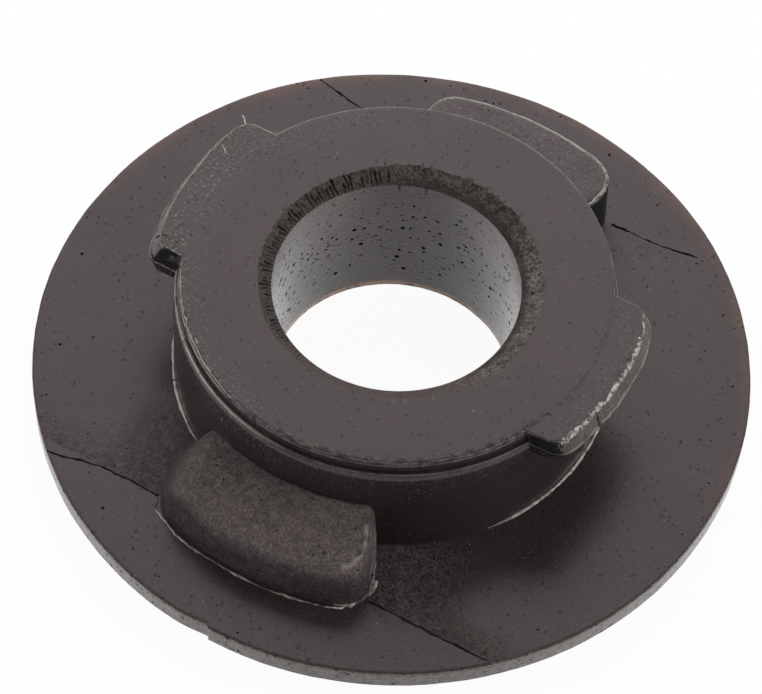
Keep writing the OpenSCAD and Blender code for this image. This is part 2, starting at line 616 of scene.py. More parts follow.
def lug_solids(s, side):
    """The two layers of one lug.

    The lug on +X is torn along its top edge, and the other one is a little shorter.
    """
    plate_z = s.overall_h - s.plate_t
    short = 0.0 if side > 0 else 0.16
    corner_r = (s.lug_corner_r, 0.5) if side > 0 else (0.5, 0.45)
    lower = lug_layer(
        s,
        "lug_lower",
        s.lug_r - 0.2 - short,
        s.lug_r - short,
        s.lug_half_w,
        s.lug_under_z,
        plate_z,
        corner_r,
        0.04,
    )
    upper = lug_layer(
        s,
        "lug_upper",
        s.lug_r - 0.03 - short,
        s.lug_top_r - short,
        s.lug_half_w - 0.08,
        plate_z - 0.1,
        s.overall_h - 0.001,
        corner_r,
        0.09,
    )

    def on_end_wall(normal, middle):
        return normal.y * side < -0.75 and middle.x > s.head_r - 0.7 and middle.z > plate_z - 0.1

    for obj, seed in ((lower, 21), (upper, 22)):
        for v in obj.data.vertices:
            up = rise(plate_z, s.overall_h, v.co.z)
            if side < 0 and v.co.y < -3:
                v.co.y -= 0.09 * up
            elif side < 0 and v.co.y > 3:
                v.co.y -= 0.4 * up * (1 - 0.6 * rise(8.4, 9.6, v.co.x))
            r = math.hypot(v.co.x, v.co.y)
            if r < s.head_r + 0.1:
                continue
            v.co.x += lug_bulge(side, v.co.x, v.co.y)
            rough = 0.03 * lump(v.co, 0.5, seed + side) + 0.025 * lump(v.co, 0.2, seed + 3 + side)
            if v.co.z > s.overall_h - 0.12 and v.co.x > s.lug_top_r - short - 0.2:
                rough *= 1.8 if side > 0 else 0.8
                v.co.z -= max(0.0, rough)
            v.co.x += rough
            if abs(v.co.y) > 3.4:
                v.co.y -= math.copysign(0.06 * lump(v.co, 0.25, seed + 7), v.co.y) * up
        # The end walls that face the front get the very dark pit material: painted shade
        paint_shade(obj, on_end_wall)
        if side < 0:
            obj.data.transform(Matrix.Rotation(math.pi, 4, "Z"))
    return [lower, upper]


def pad_solid(s, front):
    """One pad, made straight, rubbed down and lumpy, and then bent round the neck."""
    inner = s.neck_r - SUNK
    low = s.flange_t - SUNK
    half = s.pad_half_span * s.pad_r
    size = (2 * half, s.pad_r - inner, s.pad_top - low)
    bm = block(size, (0, (s.pad_r + inner) / 2, (s.pad_top + low) / 2))

    def upright(e):
        return abs(e.verts[0].co.z - e.verts[1].co.z) > 1

    def on_end_wall(normal, middle):
        return normal.x > 0.55 and middle.x > 3.5 and middle.z < s.pad_top - 0.25 and middle.y < 11.2

    corners = [e for e in bm.edges if upright(e) and all(v.co.y > s.pad_r - WELD for v in e.verts)]
    round_off(bm, corners, 1.35 if front else 2.0, 8)
    rim = [
        e
        for e in bm.edges
        if all(v.co.z > s.pad_top - WELD for v in e.verts)
        and not all(v.co.y < inner + WELD for v in e.verts)
    ]
    round_off(bm, rim, 0.55 if front else 0.2, 4)
    pad = solid_object(bm, "pad")
    fine = pad.modifiers.new("grain", "REMESH")
    fine.mode = "VOXEL"
    fine.voxel_size = PAD_GRID
    fine.adaptivity = 0.0
    apply_modifiers(pad)
    for v in pad.data.vertices:
        v.co = worn_pad_place(s, v.co.copy(), half, front)
    turn = -math.pi / 2 if front else math.pi / 2
    for v in pad.data.vertices:
        v.co = at(v.co.y, turn + v.co.x / s.pad_r, v.co.z)
    pad.data.flip_normals()  # the bend mirrors the pad, which turns it inside out
    # One end wall of the rear pad gets the very dark pit material: painted shade
    if not front:
        paint_shade(pad, on_end_wall)
    return pad


def worn_pad_place(s, co, half, front):
    """Where a point of the straight pad goes. x runs along the pad, y out from the neck and z up."""
    up = max(0.0, (co.z - s.flange_t) / (s.pad_top - s.flange_t))
    outer = rise(s.neck_r, s.pad_r, co.y)
    x, y, z = co
    if front:
        left = rise(0.55 * half, half, -x)
        right = rise(0.75 * half, half, x)
        z += up * (0.27 * (1 - outer) - 0.08 * outer - left * left * (0.15 + 0.4 * outer))
        x += left * up * up * (0.15 + 0.65 * outer) - 0.25 * up * right
        x -= 1.5 * left * (1 - outer) * (1 - up) ** 1.5
        y -= outer * up * (0.08 + 0.32 * left)
        dent = math.exp(-(((co.x + 0.56 * half) / 0.9) ** 2 + ((co.z - 3.9) / 0.7) ** 2))
        y -= 0.18 * dent * outer
        z -= 0.10 * dent * up
        bump = math.exp(-(((co.x - 0.82 * half) / 0.35) ** 2 + ((co.y - 11.3) / 0.3) ** 2))
        z += 0.10 * bump * up
    else:
        ends = rise(0.8 * half, half, abs(x))
        x -= math.copysign(0.15 * up * ends, x) + 0.35 * rise(0.3 * half, half, x)
        y += outer * (0.1 * rise(0, half, -co.x) - 0.05 * up)
    out = Vector((x, y - (s.neck_r + s.pad_r) / 2, z - s.flange_t))
    out.normalize()
    rough = 0.05 * lump(co, 1.2, 31) + 0.03 * lump(co, 0.45, 32) + 0.022 * lump(co, 0.24, 33)
    if not front:
        rough *= 0.6
    return Vector((x, y, z)) + out * rough * rise(s.flange_t - 0.2, s.flange_t, co.z)


def ragged_path(keys, seed, spacing=0.09, wander=0.02, rough=0.4, fade=True):
    """Places along a line through keys, each (radius, angle in degrees, height), with an uneven size."""
    path = []
    least = 0.3 if fade else 0.5
    for (r1, a1, z1), (r2, a2, z2) in zip(keys, keys[1:]):
        span = math.hypot(math.radians(a2 - a1) * (r1 + r2) / 2, r2 - r1, z2 - z1)
        pieces = max(2, int(span / spacing))
        for number in range(pieces + (keys[-1] == (r2, a2, z2))):
            t = number / pieces
            r = r1 + (r2 - r1) * t
            a = math.radians(a1 + (a2 - a1) * t)
            path.append(at(r, a, z1 + (z2 - z1) * t))
    made = []
    for number, base in enumerate(path):
        swing = wander * lump(base, 0.7, seed) + 0.6 * wander * lump(base, 0.2, seed + 1)
        out = Vector((base.x, base.y, 0)).normalized()
        factor = 1 + rough * lump(base, 0.3, seed + 2) + 1.3 * rough * lump(base, 1.1, seed + 3)
        t = number / (len(path) - 1)
        if fade:
            factor *= min(1.0, 0.15 + 8 * t, 0.15 + 8 * (1 - t))
        made.append((base + out * swing, max(least, factor)))
    return made


def flash_solids(s):
    """Thin torn flash: round the foot of the neck and of the pads, and as a bead on the shoulder."""
    made = []

    def add(name, width, height, keys, seed, **more):
        made.append(solid_object(swept(ragged_path(keys, seed, **more), width, height), name))

    foot_r = s.neck_r + 0.02
    foot = s.flange_t
    right = [(foot_r, -36, foot), (foot_r, 12, foot)]
    left = [(foot_r, -160, foot), (foot_r, -122.3, foot)]
    add("neck_flash", 0.11, 0.10, right, 41, wander=0.014, rough=0.35)
    add("neck_flash", 0.10, 0.09, left, 45, wander=0.014, rough=0.3)
    proud = s.pad_r + 0.1
    low = foot + 0.01
    add(
        "pad_flash",
        0.036,
        0.04,
        [
            (proud - 0.45, -114, low),
            (proud, -112, low),
            (proud + 0.12, -103, low),
            (proud + 0.05, -94, low),
            (proud, -84, low),
            (proud + 0.02, -76, low),
            (proud - 0.08, -70.5, low),
            (proud - 0.4, -68, low),
        ],
        51,
        wander=0.07,
        rough=1.5,
    )
    up = low + 0.1
    corner = [(12.05, -70, low + 0.05), (11.75, -67.5, up), (11.5, -65.5, up), (10.9, -64.2, up)]
    add("pad_flash", 0.18, 0.15, corner, 57, spacing=0.07, wander=0.2, rough=1.2)
    edge = [(11.6, -65.6, 2.5), (11.2, -65.1, 2.9), (10.6, -64.7, 3.0), (10.2, -64.9, 3.5)]
    add("pad_flash", 0.06, 0.06, edge, 58, spacing=0.07, wander=0.08, rough=1.0)
    add("pad_ridge", 0.04, 0.06, PAD_RIDGE, 59, spacing=0.07, wander=0.03, rough=0.8)
    rear = math.degrees(s.pad_half_span) - 5.5
    behind = [(proud, 90 - rear, low), (proud, 90 + rear, low)]
    add("pad_flash", 0.06, 0.06, behind, 55, wander=0.04, rough=0.8)

    step_z = s.overall_h - s.plate_t
    bead_r = s.shoulder_r - 0.02
    left = [(bead_r, -203, step_z), (bead_r, -98, step_z)]
    right = [(bead_r, -98, step_z), (bead_r, -24, step_z)]
    add("shoulder_bead", 0.04, 0.045, left, 65, wander=0.012, rough=0.25)
    add("shoulder_bead", 0.03, 0.035, right, 67, wander=0.014, rough=0.5)
    top = s.overall_h
    outer_hair = [(9.85, 158.4, top - 0.1), (10.18, 157.6, top - 0.05), (10.42, 157.2, top - 0.04)]
    inner_hair = [(9.35, 167.9, top), (9.57, 167.2, top), (9.78, 166.8, top)]
    add("hair", 0.032, 0.03, outer_hair, 69)
    add("hair", 0.024, 0.03, inner_hair, 70, wander=0.03)
    return made


def groove_cutters(s):
    """The tools that leave the mould's parting lines across the flange, from the rim to the pads."""
    foot_x = s.pad_r * math.sin(s.pad_half_span) - 0.35
    lines = []
    quarters = ((-1, -1, 0.5, 14.7), (1, -1, 0.0, 14.9), (1, 1, 0.22, 13.9), (-1, 1, 0.5, 14.9))
    for side_x, side_y, bend, far in quarters:
        end_x = math.sqrt(far**2 - s.parting_y**2)
        path = []
        pieces = 80
        for number in range(pieces + 1):
            t = number / pieces
            x = foot_x + (end_x - foot_x) * t
            y = s.parting_y + bend * rise(0.45, 1.0, t)
            base = Vector((side_x * x, side_y * y, s.flange_t + 0.02))
            base.y += 0.05 * lump(base, 0.9, 61) + 0.03 * lump(base, 0.25, 62)
            factor = 0.95 + 0.7 * lump(base, 0.9, 63) + 0.5 * lump(base, 0.25, 64)
            path.append((base, max(0.25, factor * min(1.0, 0.3 + 6 * (1 - t)))))
        lines.append(solid_object(swept(path, 0.06, 0.12, sides=4), "parting_groove"))
    return lines


def pits_cutter(s):
    """The tool that leaves the open pores: small balls in the bore's wall, on the flange and on the rim."""
    dice = random.Random(7)
    places = []

    def add(place, size):
        if all((place - other).length > size + other_size + 0.04 for other, other_size in places):
            places.append((place, size))

    tries, sizes = BORE_PORES
    for _ in range(tries):
        a = math.radians(dice.uniform(-180, 180))
        z = dice.gauss(3.7, 1.15)
        size = dice.choice(sizes)
        if not 0.45 < z < s.overall_h - s.chamfer_depth - 0.5:
            continue
        add(at(s.bore_r + 0.25 * size, a, z), size)
    tries, sizes = FLANGE_PORES
    for _ in range(tries):
        a = math.radians(dice.uniform(-180, 180))
        r = math.sqrt(dice.uniform(s.pad_r + 0.5, s.flange_r - 0.3) * s.flange_r)
        size = dice.choice(sizes)
        if r < s.flange_r - 0.25:
            add(at(r, a, s.flange_t), size)
    tries, sizes = RIM_PORES
    for _ in range(tries):
        a = math.radians(dice.uniform(-180, 180))
        size = dice.choice(sizes)
        z = dice.uniform(s.flange_t - s.rim_t + 0.2, s.flange_t - 0.2)
        add(at(s.flange_r - 0.06, a, z), size)
    bm = bmesh.new()
    for place, size in places:
        bmesh.ops.create_icosphere(bm, subdivisions=1, radius=size, matrix=Matrix.Translation(place))
    for face in bm.faces:
        face.material_index = PIT_AND_SHADE
    return solid_object(bm, "pits")


def lug_nick():
    """The tool that leaves the small cut across the edge of the lug on +X."""
    path = [(at(r, math.radians(a), z), 1.0) for r, a, z in LUG_NICK]
    return solid_object(swept(path, 0.06, 0.1), "lug_nick")


def mark_skin(obj, s):
    """Writes on the points how rubbed, eroded, chipped and dusty the skin is, and where it is torn. The
    rubbed-edge mark also carries painted highlights, and a dark band mark paints shade along the foot of
    the plate wall.
    """
    bm = bmesh.new()
    bm.from_mesh(obj.data)
    layers = {name: bm.verts.layers.float.new(name) for name in SKIN_MARKS}
    for edge in bm.edges:
        if len(edge.link_faces) != 2:
            continue
        middle = (edge.verts[0].co + edge.verts[1].co) / 2
        if abs(middle.z - s.flange_t) < 0.12 and 9.6 < abs(middle.y) < 12 and middle.length > 11.3:
            continue
        at_chamfer = math.hypot(middle.x, middle.y) < s.chamfer_r + 0.8
        if at_chamfer and middle.z > s.overall_h - s.chamfer_depth - 0.1:
            continue
        if any(face.material_index in (CUT, PIT_AND_SHADE) for face in edge.link_faces):
            continue
        bend = edge.calc_face_angle_signed(0.0)
        if bend > math.radians(WEAR_AND_HIGHLIGHT_FROM):
            a = math.degrees(math.atan2(middle.y, middle.x)) % 360
            # Edges on the rear and the left get a stronger mark: painted highlight where the back light
            # catches their small round, on top of real rubbing
            rub_and_highlight = 0.5 + 0.5 * rise(40, 80, a) * fall(235, 260, a)
            worn = rub_and_highlight * min(1.0, bend / math.radians(WEAR_AND_HIGHLIGHT_FULLY))
            for v in edge.verts:
                v[layers["worn"]] = max(v[layers["worn"]], worn)
    for v in bm.verts:
        for name, value in skin_at(s, v.co).items():
            v[layers[name]] = max(v[layers[name]], value)
    bm.to_mesh(obj.data)
    bm.free()


def skin_at(s, co):
    """The marks that follow from the place alone."""
    r, a = polar(co)
    marks = {"dusty": 0.12}
    chamfer_z = s.overall_h - s.chamfer_depth
    if co.z > chamfer_z - 0.02 and r < s.chamfer_r + 0.6:
        along = rise(chamfer_z - 0.01, s.overall_h, co.z)
        _, true_a = polar(Vector((co.x - s.chamfer_shift * along, co.y, 0)))
        grainy, narrow = torn_zones(true_a)
        marks["slot"] = torn_slot(true_a, along) * (1 - grainy) * (1 - 0.75 * narrow)
        top = 0.55 + 0.35 * rise(30, 75, true_a)
        low = (0.2 + 0.4 * grainy) * (1 - narrow) * fall(0.1, top, along)
        marks["slot"] = max(marks["slot"], low)
        marks["grainy"] = grainy
        marks["narrow"] = narrow
    plate_z = s.overall_h - s.plate_t
    # A dark band on the foot of the plate wall, just above the step: painted shade under the plate's edge
    if plate_z + 0.03 < co.z < plate_z + 0.17 and r < s.head_r + 0.06:
        marks["black"] = 0.8
    # A pale line along the shoulder's edge, stronger on the left, and along the lug's step: partly rubbing,
    # partly painted highlight
    if abs(co.z - plate_z) < 0.07 and not (co.x < -7.9 and co.y < 0.3 - s.lug_half_w):
        on_shoulder = rise(s.head_r + 0.02, s.head_r + 0.1, r) * fall(s.neck_r, s.neck_r + 0.1, r)
        on_lug = rise(s.lug_r - 0.26, s.lug_r - 0.16, r)
        marks["worn"] = max(on_shoulder * (0.8 - 0.45 * rise(-110, -80, a)), 0.7 * on_lug)
    if co.z > s.lug_under_z - 0.5:
        rear_left = rise(100, 130, a % 360) * fall(255, 275, a % 360)
        marks["dusty"] += 0.75 * rear_left * rise(7.7, 8.4, r) + 0.5 * rise(8.7, 9.2, r)
        if r > s.lug_top_r - 0.3 and co.z > plate_z + 0.04:
            marks["eroded"] = 0.7 if co.x > 0 else 0.4
        if co.x > 0 and co.z > s.overall_h - 0.25:
            edge = math.hypot(co.x - lug_bulge(1, co.x, co.y), co.y) - s.lug_top_r
            marks["eroded"] = 0.7 * rise(-0.2, 0.05, edge)
            marks["chipped"] = rise(-0.42, -0.05, edge) * fall(0.04, 0.1, edge)
            marks["chipped"] *= 1 - 0.12 * rise(1.5, 3.4, co.y)
        elif co.x < 0 and co.z > plate_z - 0.1 and r > s.lug_top_r - 0.4:
            marks["dusty"] = 1.0
            marks["eroded"] = 0.35 * rise(s.lug_top_r - 0.55, s.lug_top_r - 0.15, r)
        on_front = -205 < (a if a < 0 else a - 360) < -26
        if on_front and s.head_r - 0.28 < r < s.head_r + 0.02 and co.z > s.overall_h - 0.1:
            marks["dusty"] = 1.0
    elif co.z > s.flange_t + 0.1 and r > s.neck_r + 0.1:
        marks["eroded"] = 1.0 if co.y < 0 else 0.15
        marks["dusty"] = 0.7
        # The rear pad's top outer edge gets a pale line: painted highlight where the back light catches it
        if co.y > 0 and co.z > s.pad_top - 0.3:
            marks["worn"] = rise(s.pad_r - 0.28, s.pad_r - 0.14, r)
        if co.z > s.flange_t + 0.15 and -72 < a < -62:
            ridge = min((co.xy - Vector(place)).length for place in ridge_places())
            marks["flash"] = 0.35 * fall(0.05, 0.1, ridge) if co.z > 4.2 else 0.35 * rise(-66, -65, a)
    elif abs(co.z - s.flange_t) < 0.12 and r > s.neck_r:
        start = 5.6 + 2.9 * rise(9.5, 13.0, r)
        marks["eroded"] = rise(start, start + 2.6, abs(co.y)) * (1.0 if co.y < 0 else 0.4)
    if s.flange_t + 0.015 < co.z < s.flange_t + 0.2:
        at_neck = s.neck_r + 0.03 < r < s.neck_r + 0.14 and (-38 < a < 14 or a < -120)
        at_pad = s.pad_r + 0.02 < r < s.pad_r + 0.35 and -116 < a < -66
        at_corner = 10.8 < r < s.pad_r + 0.35 and -72 < a < -63
        # The flash round the neck's foot is painted very pale: real torn flash, with a painted highlight
        # where the side light catches the bead
        if at_neck or at_corner:
            marks["flash"] = 1.0
        elif at_pad:
            marks["flash"] = 0.5
    inner_hair = co.z > s.overall_h + 0.004
    outer_hair = r > 9.95 and a < 159.5 and co.z > s.overall_h - 0.2
    if co.x < -8 and co.y > 1.5 and (inner_hair or outer_hair):
        marks["flash"] = 0.6
    return marks


def settle(obj, s):
    """Gives the large flat faces a slight waviness, scales the moulding to metres and sets its shading."""
    for v in obj.data.vertices:
        r = math.hypot(v.co.x, v.co.y)
        if v.co.z < 0.2:
            continue
        wave = 0.02 * lump(v.co, 5.0, 71) + 0.006 * lump(v.co, 1.4, 72)
        v.co.z += wave * rise(0.2, 1.0, v.co.z) - 0.03 * rise(s.overall_h - 1, s.overall_h, v.co.z)
        v.co.z = min(v.co.z, s.overall_h)
        if r > s.flange_r:
            v.co.x *= s.flange_r / r
            v.co.y *= s.flange_r / r
    obj.data.transform(Matrix.Scale(MM, 4))
    obj.data.polygons.foreach_set("use_smooth", [True] * len(obj.data.polygons))
    obj.data.set_sharp_from_angle(angle=math.radians(SHARP_FROM))
    normals = obj.modifiers.new("normals", "WEIGHTED_NORMAL")
    normals.mode = "FACE_AREA"
    normals.keep_sharp = True
    apply_modifiers(obj)


# Materials


def toned(colour_value, factor):
    """A lighter or darker tone of a colour."""
    return tuple(factor * part for part in colour_value)


class Graph:
    """Short calls for the nodes of one material."""

    def __init__(self, name):
        self.material = bpy.data.materials.new(name)
        self.material.use_nodes = True
        self.tree = self.material.node_tree
        self.shader = self.tree.nodes["Principled BSDF"]
        coordinates = self.node("TexCoord")
        scale = self.node("Mapping")
        scale.inputs["Scale"].default_value = (1 / MM,) * 3
        self.join(coordinates.outputs["Object"], scale.inputs["Vector"])
        self.place = scale.outputs["Vector"]

    def node(self, kind):
        return self.tree.nodes.new("ShaderNode" + kind)

    def join(self, out, into):
        self.tree.links.new(out, into)

    def feed(self, value, into):
        if isinstance(value, bpy.types.NodeSocket):
            self.join(value, into)
        else:
            into.default_value = value

    def math(self, operation, *values, clamp=False):
        node = self.node("Math")
        node.operation = operation
        node.use_clamp = clamp
        for value, into in zip(values, node.inputs):
            self.feed(value, into)
        return node.outputs[0]

    def times(self, *values, **more):
        return self.math("MULTIPLY", *values, **more)

    def plus(self, *values, **more):
        return self.math("ADD", *values, **more)

    def larger(self, *values, **more):
        return self.math("MAXIMUM", *values, **more)

    def constant(self, name, value):
        """Sets a value of the shader that is the same all over."""
        self.shader.inputs[name].default_value = value

    def drive(self, name, out):
        """Lets a pattern set a value of the shader."""
        self.join(out, self.shader.inputs[name])

    def ramp(self, value, low, high, start=0.0, end=1.0):
        """A smooth step: start where value is at low or under it, end where it is at high or over it."""
        node = self.node("MapRange")
        node.interpolation_type = "SMOOTHSTEP"
        self.feed(value, node.inputs["Value"])
        node.inputs["From Min"].default_value = low
        node.inputs["From Max"].default_value = high
        node.inputs["To Min"].default_value = start
        node.inputs["To Max"].default_value = end
        return node.outputs["Result"]

    def noise(self, per_mm, detail=2.0, rough=0.5, place=None, warp=0.0):
        """Cloudy noise round 0.5, with about per_mm features to a millimetre."""
        node = self.node("TexNoise")
        self.join(place or self.place, node.inputs["Vector"])
        node.inputs["Scale"].default_value = per_mm
        node.inputs["Detail"].default_value = detail
        node.inputs["Roughness"].default_value = rough
        node.inputs["Distortion"].default_value = warp
        return node.outputs["Fac"]

    def spots(self, per_mm, radius, chance, place=None):
        """Round spots at random places: 1 inside a spot and 0 outside. radius is a share of a cell."""
        node = self.node("TexVoronoi")
        self.join(place or self.place, node.inputs["Vector"])
        node.inputs["Scale"].default_value = per_mm
        split = self.node("SeparateColor")
        self.join(node.outputs["Color"], split.inputs["Color"])
        reach = self.ramp(split.outputs["Red"], 1 - chance, 1.0, 0.0, radius)
        inside = self.math("SUBTRACT", reach, node.outputs["Distance"])
        return self.ramp(inside, 0.0, radius * 0.25)

    def mix(self, factor, first, second):
        """A colour between first and second."""
        node = self.node("Mix")
        node.data_type = "RGBA"
        self.feed(factor, node.inputs["Factor"])
        for value, name in ((first, "A"), (second, "B")):
            from_node = isinstance(value, bpy.types.NodeSocket)
            self.feed(value if from_node else (*value, 1.0), node.inputs[name])
        return node.outputs["Result"]

    def mixed(self, factor, first, second):
        """A plain number between first and second."""
        node = self.node("Mix")
        node.data_type = "FLOAT"
        for value, name in ((factor, "Factor"), (first, "A"), (second, "B")):
            self.feed(value, node.inputs[name])
        return node.outputs["Result"]

    def mapped(self, scale, rotation=(0, 0, 0)):
        """The place on the grommet, turned and stretched, for patterns that run one way."""
        node = self.node("Mapping")
        self.join(self.place, node.inputs["Vector"])
        node.inputs["Scale"].default_value = scale
        node.inputs["Rotation"].default_value = rotation
        return node.outputs["Vector"]

    def attribute(self, name):
        node = self.node("Attribute")
        node.attribute_name = name
        return node.outputs["Fac"]

    def axes(self):
        """The place on the grommet as X, Y and Z in mm."""
        node = self.node("SeparateXYZ")
        self.join(self.place, node.inputs["Vector"])
        return node.outputs["X"], node.outputs["Y"], node.outputs["Z"]

    def radius(self, x, y):
        return self.math("SQRT", self.plus(self.times(x, x), self.times(y, y)))

    def bump(self, height, depth_mm, strength=1.0, normal=None):
        """A surface direction that follows a height pattern of depth_mm, on top of normal."""
        node = self.node("Bump")
        node.inputs["Distance"].default_value = depth_mm * MM
        self.feed(strength, node.inputs["Strength"])
        self.join(height, node.inputs["Height"])
        if normal is not None:
            self.join(normal, node.inputs["Normal"])
        return node.outputs["Normal"]


def moulded_rubber(c, s):
    """Moulded skin: fine grain, rougher where the mould was eroded, with pores, dust and rubbed edges. It
    also carries painted light: highlights on edges that face the back light and on the neck's flash, rough
    skin paler higher up, a paler rear edge of the flange, and painted shade along the foot of the plate
    wall.
    """
    g = Graph("moulded_rubber")
    x, y, z = g.axes()
    above_foot = g.ramp(z, s.flange_t + 0.05, s.flange_t + 0.2)
    on_neck = g.times(above_foot, g.ramp(z, s.overall_h - 0.1, s.overall_h - 0.3))
    inside = g.ramp(g.math("ABSOLUTE", y), s.parting_y + 0.05, s.parting_y - 0.05)
    raised = g.ramp(z, s.flange_t + 0.03, s.flange_t + 0.12)
    rough_zone = g.times(g.attribute("eroded"), g.larger(inside, raised))
    fine = g.noise(11.0, 2.0, 0.6)
    grain = g.noise(10.0, 3.0, 0.8)
    coarse = g.noise(2.6, 2.0, 0.6)
    mottle = g.noise(0.35, 3.0, 0.55)
    pores = g.times(g.spots(1.7, 0.13, 0.8), g.ramp(z, 5.0, 7.0, 1.0, 0.3))
    pits = g.times(g.spots(3.4, 0.24, 0.7), g.plus(g.times(rough_zone, 0.8), 0.35))
    holes = g.larger(pores, pits, clamp=True)
    specks = g.times(g.ramp(g.noise(8.0, 3.0, 0.7), 0.52, 0.72), g.attribute("dusty"))
    stray = g.spots(1.4, 0.07, 0.9)
    dust = g.larger(g.times(specks, 0.24), g.times(stray, 0.2))

    tone = g.plus(g.times(fine, 0.7), g.times(mottle, 0.3))
    skin = g.mix(g.ramp(tone, 0.36, 0.64), toned(c.moulded, 0.7), toned(c.moulded, 1.3))
    speckle = g.ramp(g.plus(grain, g.times(coarse, 0.4)), 0.6, 0.86)
    # Painted light: rough skin is paler higher up, so the pads' tops read lit and their walls shaded
    painted_top_light = g.ramp(z, 3.3, 4.4)
    pale = g.mix(painted_top_light, toned(c.moulded, 3.0), toned(c.moulded, 6.2))
    dark = g.mix(painted_top_light, toned(c.moulded, 0.6), toned(c.moulded, 2.0))
    rough_skin = g.mix(speckle, dark, pale)
    skin = g.mix(rough_zone, skin, rough_skin)
    # Painted light along the flange's rear edge: a paler brownish tone where the back light catches it
    rear_edge = g.times(g.ramp(g.radius(x, y), s.flange_r - 0.7, s.flange_r - 0.1), g.ramp(y, -2.0, 5.0))
    skin = g.mix(g.times(rear_edge, g.ramp(mottle, 0.4, 0.6, 0.2, 0.7)), skin, c.rear_edge_light)
    # Rubbed edges, broken up by noise; the same mark carries painted highlights along edges that face the
    # back light, along the shoulder and along the rear pad's top edge
    line_break = g.ramp(g.noise(1.1, 3.0, 0.7), 0.36, 0.5, 0.35, 1.0)
    worn = g.times(g.ramp(g.attribute("worn"), 0.2, 1.0), line_break, clamp=True)
    chip_noise = g.noise(4.5, 3.0, 0.75, warp=0.3)
    chips = g.ramp(g.plus(g.attribute("chipped"), g.times(chip_noise, 1.5)), 1.6, 1.78)
    chip_skin = g.mix(g.ramp(g.noise(7.0, 2.0, 0.6), 0.4, 0.6), toned(c.dust, 0.6), c.flash)
    skin = g.mix(g.times(worn, 0.75), skin, c.worn)
    skin = g.mix(g.times(chips, 0.85), skin, chip_skin)
    # Pale torn flash; round the neck's foot this pale colour is partly a painted highlight
    torn_off = g.times(g.attribute("flash"), g.ramp(g.noise(2.6, 3.0, 0.7), 0.4, 0.58, 0.15, 0.9))
    skin = g.mix(torn_off, skin, c.flash)
    skin = g.mix(dust, skin, c.dust)
    # Painted shade: a dark band along the foot of the plate wall, in the colour of the pores, and matt
    black = g.attribute("black")
    skin = g.mix(g.larger(holes, g.times(black, 0.9)), skin, c.pore)
    g.drive("Base Color", skin)
    matt = g.larger(g.larger(g.times(rough_zone, g.mixed(raised, 0.3, 1.0)), chips), black)
    smooth_skin = g.ramp(on_neck, 0.0, 1.0, 0.30, 0.26)
    g.drive("Roughness", g.mixed(matt, smooth_skin, 0.42))
    g.constant("Specular IOR Level", 0.5)
    g.constant("Specular Tint", (1.0, 0.83, 0.84, 1.0))
    skin_bump = g.bump(fine, 0.012, 0.5)
    deep = g.times(rough_zone, g.mixed(raised, 0.45, 1.0))
    rough_bump = g.bump(g.plus(grain, g.times(coarse, 0.5)), 0.16, deep, skin_bump)
    chip_bump = g.bump(chips, 0.03, 0.7, rough_bump)
    g.drive("Normal", g.bump(g.times(holes, -1.0), 0.08, 0.9, chip_bump))
    return g.material


def cut_rubber(c, s):
    """Knife and tool cuts, on the rim and in the bore: pale, with very dark pores and fine streaks, and a
    painted orange glow on the thin lip round the foot of the bore.
    """
    g = Graph("cut_rubber")
    x, y, z = g.axes()
    on_rim = g.ramp(g.radius(x, y), s.neck_r, s.neck_r + 1)
    streaks = g.noise(1.0, 4.0, 0.75, g.mapped((2.0, 2.0, 11.0), (0.2, 0.0, 0.0)))
    cloud = g.noise(0.5, 2.0, 0.5)
    grain = g.noise(9.0, 2.0, 0.6)
    crowd = g.ramp(g.noise(0.45, 1.0, 0.5), 0.34, 0.56, 0.25, 1.0)
    middle = g.times(g.ramp(z, 0.6, 2.6), g.ramp(z, 6.6, 5.2))
    large = g.times(g.spots(3.4, 0.4, 0.35), g.ramp(g.times(crowd, middle), 0.15, 0.4))
    small = g.times(g.spots(6.0, 0.42, 0.35), g.ramp(crowd, 0.1, 0.8))
    holes = g.larger(large, g.times(small, 0.8), clamp=True)
    tone = g.plus(g.times(streaks, 0.65), g.times(cloud, 0.35))
    base = g.mix(g.ramp(tone, 0.34, 0.66), toned(c.cut, 0.5), toned(c.cut, 1.5))
    base = g.mix(g.times(g.ramp(grain, 0.55, 0.75), 0.4), base, toned(c.cut, 0.5))
    rim_tone = g.plus(g.times(g.noise(5.0, 3.0, 0.75), 0.8), g.times(cloud, 0.2))
    rim_skin = g.mix(g.ramp(rim_tone, 0.38, 0.62), toned(c.rim, 0.4), toned(c.rim, 1.6))
    base = g.mix(on_rim, base, rim_skin)
    low = g.times(g.ramp(z, 0.36, 0.2), g.math("SUBTRACT", 1.0, on_rim))
    # Painted glow on the thin lip round the foot of the bore, standing in for the floor's light shining
    # through it
    lip = g.times(low, g.ramp(g.noise(2.0, 2.0, 0.6), 0.32, 0.48, 0.2, 1.0))
    base = g.mix(lip, base, c.lip_glow)
    base = g.mix(g.larger(holes, g.times(low, g.spots(2.2, 0.45, 0.5))), base, c.pore)
    g.drive("Base Color", base)
    g.drive("Roughness", g.mixed(holes, g.mixed(on_rim, 0.16, 0.4), 1.0))
    g.constant("Specular IOR Level", 0.18)
    g.constant("Coat Weight", 1.0)
    g.constant("Coat Roughness", 0.16)
    g.constant("Coat IOR", 1.3)
    g.constant("Specular Tint", (1.0, 0.83, 0.80, 1.0))
    lines = g.bump(streaks, 0.025, 0.6)
    rough = g.bump(grain, 0.014, 0.6, lines)
    relief = g.bump(g.times(holes, -1.0), 0.12, 0.9, rough)
    g.drive("Normal", relief)
    g.drive("Coat Normal", relief)
    return g.material


